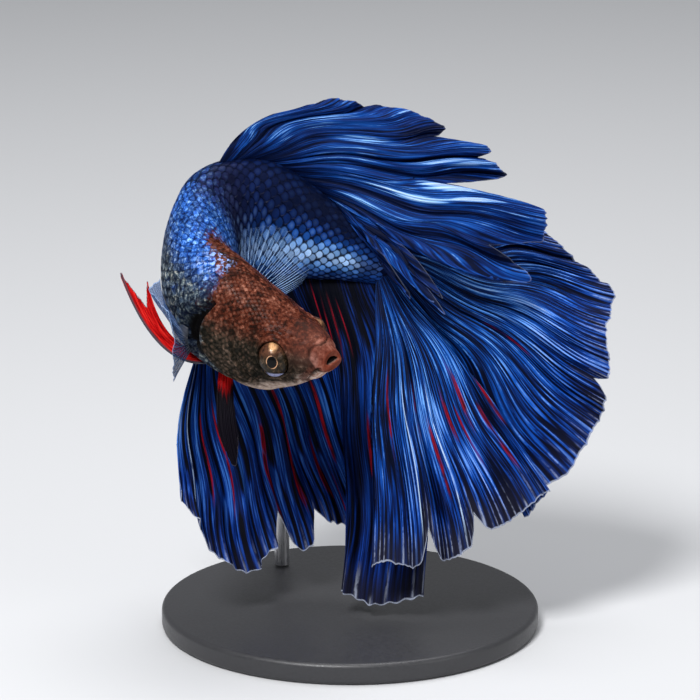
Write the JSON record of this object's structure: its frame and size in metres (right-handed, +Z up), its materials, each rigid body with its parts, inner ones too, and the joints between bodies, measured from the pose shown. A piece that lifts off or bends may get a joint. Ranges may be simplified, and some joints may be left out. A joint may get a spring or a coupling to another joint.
{
  "type": "betta fish",
  "caption": "Life-size still model of a halfmoon fighting fish with long flowing fins, curled to its left on a round display stand.",
  "frame": {"origin": "centre of the stand base's underside", "axes": "+Z up from the table, +X towards the tail fin, +Y to the fish's far right flank where the rod meets it; the head comes forward to -Y"},
  "size_m": [0.0569, 0.044, 0.0611],
  "materials": {
    "head_skin": "satin, mottled red-brown fish skin over small scales",
    "body_skin": "iridescent blue fish scales, pale blue on the flank",
    "eye": "glossy, dark pupil in a copper iris",
    "fin_blue": "satin cobalt-blue fin with pale rays, red streaks and greyish margins",
    "fin_pectoral": "translucent slate-blue fin with fine pale rays",
    "fin_red": "satin bright red fin with a dark leading edge",
    "stand_base": "fine matte dark plastic",
    "stand_rod": "brushed"
  },
  "bodies": {
    "root": {"head": "head_skin", "trunk_front": "body_skin", "trunk_middle": "body_skin", "trunk_rear": "body_skin", "tail_stem": "body_skin", "eye_left": "eye", "eye_right": "eye", "dorsal_fin": "fin_blue", "caudal_fin": "fin_blue", "anal_fin": "fin_blue", "pectoral_fin_left": "fin_pectoral", "pectoral_fin_right": "fin_pectoral", "pelvic_fin_left": "fin_red", "pelvic_fin_right": "fin_red", "stand_base": "stand_base", "stand_rod": "stand_rod"}
  },
  "joints": []
}
